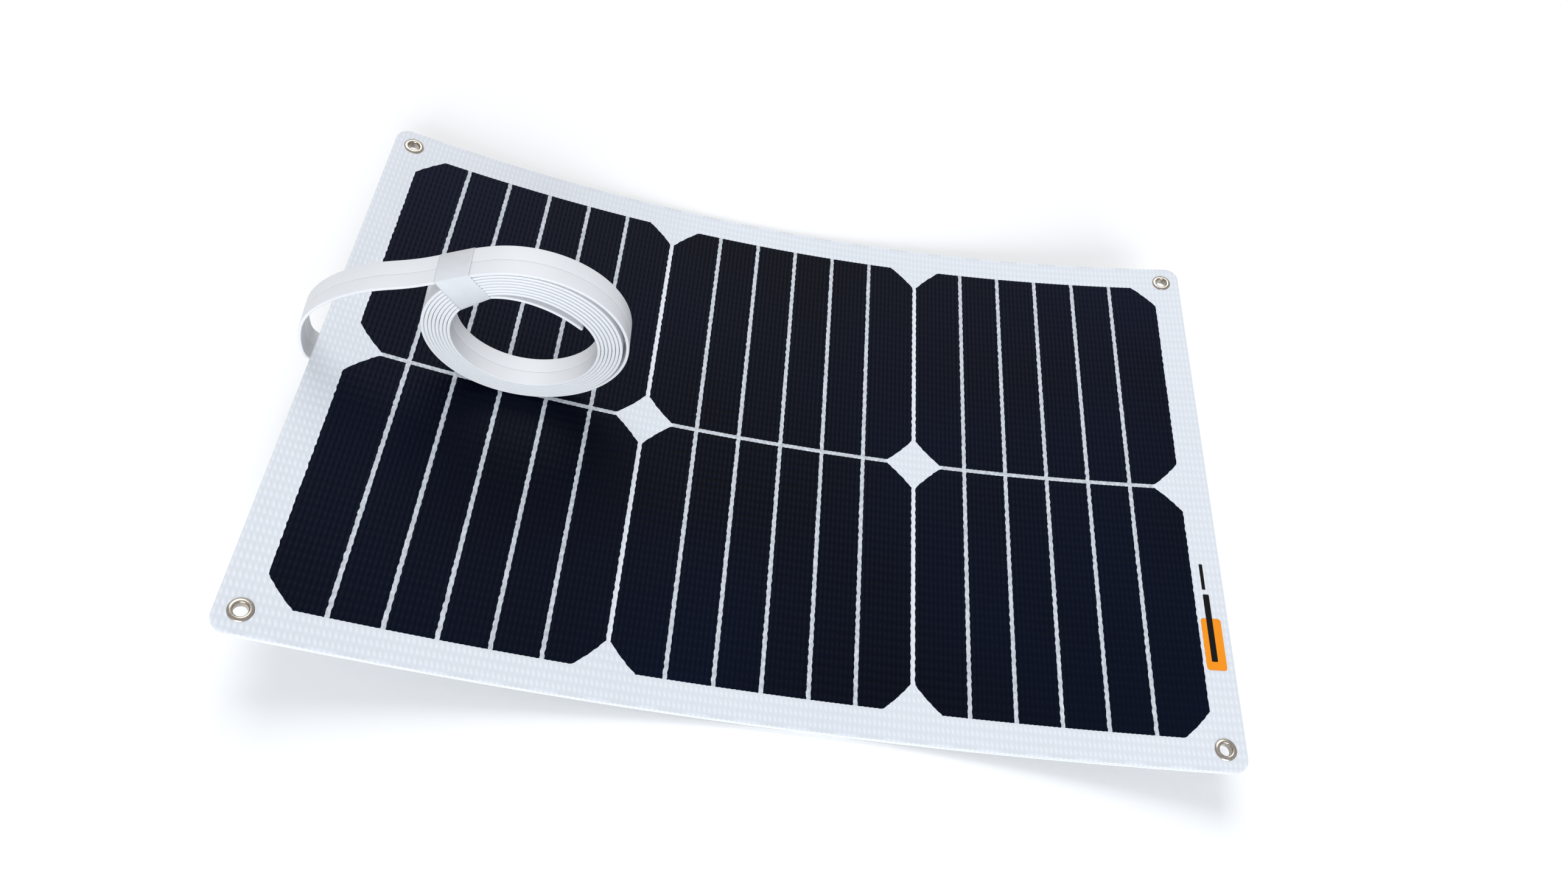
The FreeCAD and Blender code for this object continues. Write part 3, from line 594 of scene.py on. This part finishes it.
def add_tape():
    """A frosted film round the bundle, pulled straight over the joint and across the hole."""
    n = Nodes("clear_tape")
    n.set(
        color=n.mix(n.noise(220.0, 3.0), (0.76, 0.775, 0.80), (0.82, 0.835, 0.86)),
        rough=0.34,
        alpha=0.68,
        normal=n.bump(n.noise(130.0, 3.0), 0.35, 0.0003),
        specular=0.4,
    )
    gap = 0.05
    thick = CABLE_THICK / MM / 2 + gap
    out = Vector((math.cos(JOIN), math.sin(JOIN)))
    back = Vector((-math.sin(JOIN), math.cos(JOIN)))
    middle = Vector((COIL_A, COIL_Z))
    join = middle + out * (LINE_RADIUS + thick)

    def round_coil(degrees, radius):
        return middle + radius * Vector((math.cos(math.radians(degrees)), math.sin(math.radians(degrees))))

    steps = 18
    inner_left, inner_right = round_coil(147.0, 31.0), round_coil(115.5, 30.6)
    half_width = CABLE_WIDTH / MM / 2 + gap
    inner_near = half_width + FORWARD_PER_TURN * WHOLE_TURNS
    rings = []
    for i in range(steps + 1):
        share = i / steps
        reach = TAPE_REACH * (1 - share)
        if reach > 1.0:
            top = join + back * reach + out * reach * TAPE_LIFT
        else:
            top = round_coil(119.0 + reach, LINE_RADIUS + thick)
        bottom = inner_left.lerp(inner_right, share)
        corners = ((bottom, half_width), (top, half_width), (top, -half_width), (bottom, -inner_near))
        ring = []
        for (start, start_across), (end, end_across) in zip(corners, corners[1:] + corners[:1]):
            for step in (0.03, 0.5, 0.97):
                place = start.lerp(end, step)
                across = start_across + (end_across - start_across) * step
                ring.append(in_plane(place.x, place.y) + ACROSS * across * MM)
        rings.append(ring)
    size = len(rings[0])
    verts = [point for ring in rings for point in ring]
    faces = []
    for i in range(steps):
        for k in range(size):
            a, b = i * size + k, i * size + (k + 1) % size
            faces.append((a, b, b + size, a + size))
    piece = mesh_piece("tape_wrap", verts, faces, n.material)
    recalc(piece)
    mark_sharp(piece, 60)
    thicken = piece.modifiers.new("film", "SOLIDIFY")
    thicken.thickness = TAPE_FILM
    thicken.offset = 1
    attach(piece, "root")
    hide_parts("coil_tape")
    return piece


def add_cable(tape):
    """Both cores from the gland to the cut, with the copper inside them."""
    jacket = jacket_material()
    copper = plain("bare_copper", (0.70, 0.38, 0.22), (0.80, 0.47, 0.30), 0.30, 1500.0, 0.00001, metal=1.0)
    for name, side, carried in (("front", -1, [tape]), ("rear", 1, [])):
        offset = side * CABLE_WIDTH / 4
        path = cable_line(f"core_line_{name}", offset)
        core = sweep(f"cable_core_{name}", path, core_profile(side), jacket)
        half_width, half_thick = 2.3 * MM, 0.25 * MM
        strip = [
            (-half_width, half_thick),
            (half_width, half_thick),
            (half_width, -half_thick),
            (-half_width, -half_thick),
        ]
        tip = path[-1] + (path[-1] - path[-2]).normalized() * 0.1 * MM
        wire = sweep(f"core_wire_{name}", path[:-1] + [tip], strip, copper)
        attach(core, "root")
        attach(wire, "root")
        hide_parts(f"cable_tail_{name}", f"cable_coil_{name}")
        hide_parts("cable_conductors")


add_cable(add_tape())
add_face()


# ---------------------------------------------------------------- carried-over CAD nodes
def dress(material, *names):
    """Put one material in every slot of the named CAD nodes."""
    for name in names:
        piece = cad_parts[name]
        if not piece.material_slots:
            piece.data.materials.append(None)
        for slot in piece.material_slots:
            slot.material = material


def dress_nodes():
    silicon = plain("solar_cell", (0.010, 0.013, 0.028), (0.016, 0.020, 0.040), 0.30, 900.0, 0.00001)
    tinned = plain("tinned_copper", (0.62, 0.62, 0.60), (0.74, 0.74, 0.71), 0.32, 1200.0, 0.00001, metal=1.0)
    copper = bpy.data.materials["bare_copper"]
    film = plain("back_film", (0.66, 0.68, 0.71), (0.72, 0.74, 0.765), 0.48, 1400.0, 0.00003)
    board = plain("rear_board", (0.70, 0.73, 0.66), (0.80, 0.82, 0.74), 0.55, 1100.0, 0.00004)
    milky = plain("milky_layer", (0.66, 0.69, 0.74), (0.72, 0.75, 0.79), 0.35, 800.0, 0.00002)
    moulded = plain("box_plastic", (0.62, 0.62, 0.61), (0.70, 0.70, 0.69), 0.50, 2200.0, 0.00004)
    rubber = plain("gland_rubber", (0.60, 0.60, 0.60), (0.68, 0.68, 0.67), 0.62, 1800.0, 0.00004)
    pad = plain("adhesive_pad", (0.05, 0.05, 0.055), (0.08, 0.08, 0.085), 0.75, 1500.0, 0.0001)
    epoxy = plain("diode_body", (0.02, 0.02, 0.02), (0.035, 0.035, 0.035), 0.45, 2000.0, 0.00003)
    dress(silicon, *[f"cell_strip_{i:02d}" for i in range(1, 37)])
    dress(tinned, "bus_ribbons", "terminals")
    dress(copper, "cell_links")
    dress(film, "back_sheet")
    dress(board, "rear_board")
    dress(milky, "rear_encapsulant", "encapsulant_round_links", "encapsulant_between_cells")
    dress(moulded, "junction_case", "junction_lid")
    dress(rubber, "cable_gland")
    dress(pad, "junction_adhesive")
    dress(epoxy, "bypass_diode")


dress_nodes()


# ---------------------------------------------------------------- eyelets
def add_eyelets():
    metal = Nodes("nickel_plate")
    worn = metal.noise(900.0, 4.0)
    metal.set(
        color=metal.mix(worn, (0.40, 0.35, 0.29), (0.56, 0.51, 0.44)),
        rough=metal.spread(worn, 0.3, 0.7, 0.20, 0.38),
        metal=1.0,
        normal=metal.bump(metal.noise(700.0, 2.0), 0.15, 0.00004),
    )
    rim = 0.6
    top = TOP_LEVEL / MM
    hole, flange = EYELET_HOLE / MM, EYELET_FLANGE / MM
    # Rolled flange, barrel and the curl behind the washer: (radius, height) in mm.
    section = [(hole, -1.1), (hole, top - 0.1), (hole + 0.12, top + 0.28), (hole + 0.35, top + 0.48)]
    section += [(hole + 0.70, top + rim), (hole + 1.15, top + rim - 0.03), (flange - 0.55, top + 0.42)]
    section += [(flange - 0.2, top + 0.24), (flange, top + 0.04), (flange - 0.05, top)]
    section += [(hole + 0.5, top - 0.02), (hole + 0.5, -0.5), (hole + 1.45, -0.52), (hole + 1.5, -0.7)]
    section += [(hole + 1.2, -1.0), (hole + 0.6, -1.1)]
    steps = 64
    verts, faces = [], []
    for side_u in (-1, 1):
        for side_v in (-1, 1):
            u, v = side_u * EYELET_U, side_v * EYELET_V
            normal = surface_normal(u, v)
            first = Vector((-math.sin(BEND_SKEW), math.cos(BEND_SKEW), 0)).cross(normal)
            second = normal.cross(first)
            origin = on_sheet(u, v)
            base = len(verts)
            for i in range(steps):
                angle = 2 * math.pi * i / steps
                outward = first * math.cos(angle) + second * math.sin(angle)
                verts += [origin + outward * r * MM + normal * z * MM for r, z in section]
            size = len(section)
            for i in range(steps):
                for k in range(size):
                    a, b = base + i * size + k, base + i * size + (k + 1) % size
                    c, d = base + (i + 1) % steps * size + (k + 1) % size, base + (i + 1) % steps * size + k
                    faces.append((a, b, c, d))
    piece = mesh_piece("eyelet_rings", verts, faces, metal.material)
    recalc(piece)
    mark_sharp(piece, 50)
    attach(piece, "root")
    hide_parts("eyelets")
    dress(metal.material, "eyelet_washers")


add_eyelets()


# ---------------------------------------------------------------- printed patch
def surface_patch(name, loop, level, thick, material):
    """A thin flat-lying patch that follows the sheet."""
    spacing = 3 * MM
    edge = filled(loop, spacing)
    points = [Vector(p) for p in edge]
    edges = [(i, (i + 1) % len(edge)) for i in range(len(edge))]
    flat, _, triangles, *_ = geometry.delaunay_2d_cdt(points, edges, [], 1, 1e-7)
    verts = [on_sheet(p.x, p.y, level + thick) for p in flat] + [on_sheet(p.x, p.y, level) for p in flat]
    count, ring = len(flat), len(edge)
    faces = [tuple(t) for t in triangles] + [tuple(count + k for k in reversed(t)) for t in triangles]
    faces += [(i, count + i, count + (i + 1) % ring, (i + 1) % ring) for i in range(ring)]
    piece = mesh_piece(name, verts, faces, material, smooth=False)
    recalc(piece)
    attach(piece, "root")
    return piece


def moved(loop, u, v):
    return [(a + u, b + v) for a, b in loop]


def add_label():
    """A plain orange block with two dark bars where the sheet's print would be."""
    orange = plain(
        "label_orange", (0.82, 0.25, 0.006), (0.90, 0.30, 0.010), 0.5, 900.0, 0.00002, specular=0.15
    )
    ink = plain(
        "label_ink", (0.006, 0.006, 0.007), (0.012, 0.011, 0.012), 0.6, 900.0, 0.00001, specular=0.05
    )
    # Name, middle (u, v), width, length, height over the face in mm, material.
    blocks = (
        ("label_block", 0.2098, -0.0815, 0.0092, 0.0250, 0.0, orange),
        ("label_bar_wide", 0.2092, -0.0735, 0.0028, 0.0330, 0.05, ink),
        ("label_bar_slim", 0.2086, -0.0480, 0.0016, 0.0130, 0.05, ink),
    )
    for name, u, v, width, length, level, material in blocks:
        patch = surface_patch(
            name,
            moved(rounded_loop(width, length, width * 0.16), u, v),
            TOP_LEVEL + level * MM,
            0.05 * MM,
            material,
        )
        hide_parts("rating_label")


add_label()


# ---------------------------------------------------------------- floor and light
def add_stage():
    n = Nodes("studio_floor")
    n.set(color=n.mix(n.noise(3.0, 2.0), (0.955, 0.955, 0.955), (0.97, 0.97, 0.97)), rough=0.9)
    size = 12.0
    corners = [(-size, -size, 0), (size, -size, 0), (size, size, 0), (-size, size, 0)]
    floor = mesh_piece("studio_floor", corners, [(0, 1, 2, 3)], n.material)


def area_light(name, place, target, size, power, color):
    data = bpy.data.lights.new(name, "AREA")
    data.shape = "DISK"
    data.size = size
    data.energy = power
    data.color = color
    light = bpy.data.objects.new(name, data)
    light.location = place
    light.rotation_euler = (Vector(target) - Vector(place)).to_track_quat("-Z", "Y").to_euler()
    bpy.context.collection.objects.link(light)


def add_light():
    world = bpy.data.worlds.new("studio")
    world.use_nodes = True
    background = world.node_tree.nodes["Background"]
    background.inputs["Color"].default_value = (0.93, 0.95, 1.0, 1.0)
    background.inputs["Strength"].default_value = 0.54
    bpy.context.scene.world = world
    area_light("top", (-0.8, 3.2, 3.8), (0, 0, 0), 3.6, 125.0, (1.0, 0.99, 0.965))
    area_light("front", (0.4, -4.6, 1.9), (0, 0, 0.03), 3.4, 205.0, (0.92, 0.965, 1.0))


add_stage()
add_light()
bpy.context.scene.view_settings.view_transform = "Standard"
